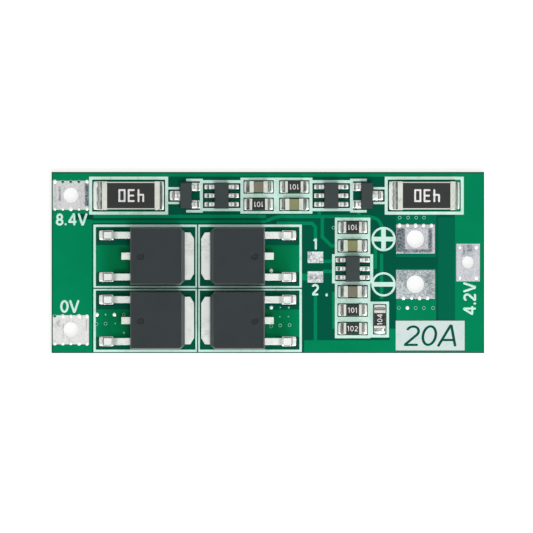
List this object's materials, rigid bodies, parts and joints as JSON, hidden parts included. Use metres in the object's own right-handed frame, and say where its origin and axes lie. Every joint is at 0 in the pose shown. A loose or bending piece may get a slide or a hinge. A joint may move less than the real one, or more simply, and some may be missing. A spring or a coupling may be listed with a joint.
{
  "type": "battery management board",
  "caption": "Flat circuit board that guards and balances two lithium cells in series, with drilled wire terminals, power transistors and bleed resistors on one side.",
  "frame": {"origin": "centre of the board's underside", "axes": "+X along the board to the mid-cell terminal, +Y to the edge with the bleed resistors, +Z out of the component side"},
  "size_m": [0.0474, 0.0198, 0.0034],
  "materials": {
    "mask": "green solder mask over glass fibre laminate, satin gloss",
    "masked_copper": "copper under green solder mask, lighter green, satin gloss",
    "tin": "levelled tin on copper, bright with dull streaks",
    "ink": "white printed legend, matt",
    "moulding": "dark grey moulding compound, matt, finely pitted",
    "lead": "tinned copper strip, satin",
    "solder": "reflowed solder, smooth and bright",
    "ceramic": "white alumina, matt",
    "overcoat": "black glass overcoat with white digits",
    "end_cap": "tinned end cap, satin",
    "resistor": "black overcoat on white ceramic",
    "capacitor_brown": "brown dielectric ceramic, matt",
    "capacitor_olive": "olive dielectric ceramic, matt"
  },
  "bodies": {
    "root": {"balance_chip_1_case": "moulding", "balance_chip_1_leads": "lead", "balance_chip_2_case": "moulding", "balance_chip_2_leads": "lead", "bleed_resistor_1_body": "ceramic", "bleed_resistor_1_caps": "end_cap", "bleed_resistor_1_coat": "overcoat", "bleed_resistor_2_body": "ceramic", "bleed_resistor_2_caps": "end_cap", "bleed_resistor_2_coat": "overcoat", "capacitor_1_body": "capacitor_brown", "capacitor_1_caps": "end_cap", "capacitor_2_body": "capacitor_olive", "capacitor_2_caps": "end_cap", "capacitor_3_body": "capacitor_olive", "capacitor_3_caps": "end_cap", "capacitor_4_body": "capacitor_brown", "capacitor_4_caps": "end_cap", "circuit_board": "mask", "high_terminal": "tin", "legend_frames": "ink", "masked_copper": "masked_copper", "mid_terminal": "tin", "mosfet_1_case": "moulding", "mosfet_1_drain_tab": "lead", "mosfet_1_leads": "lead", "mosfet_2_case": "moulding", "mosfet_2_drain_tab": "lead", "mosfet_2_leads": "lead", "mosfet_3_case": "moulding", "mosfet_3_drain_tab": "lead", "mosfet_3_leads": "lead", "mosfet_4_case": "moulding", "mosfet_4_drain_tab": "lead", "mosfet_4_leads": "lead", "output_minus_terminal": "tin", "output_plus_terminal": "tin", "polarity_signs": "ink", "protection_chip_case": "moulding", "protection_chip_leads": "lead", "rating_plate": "ink", "resistor_1_body": "resistor", "resistor_1_caps": "end_cap", "resistor_2_body": "resistor", "resistor_2_caps": "end_cap", "resistor_3_body": "resistor", "resistor_3_caps": "end_cap", "resistor_4_body": "resistor", "resistor_4_caps": "end_cap", "resistor_5_body": "resistor", "resistor_5_caps": "end_cap", "resistor_6_body": "resistor", "resistor_6_caps": "end_cap", "solder_joints": "solder", "test_pads": "tin", "transistor_1_case": "moulding", "transistor_1_leads": "lead", "transistor_2_case": "moulding", "transistor_2_leads": "lead", "zero_terminal": "tin"}
  },
  "joints": []
}
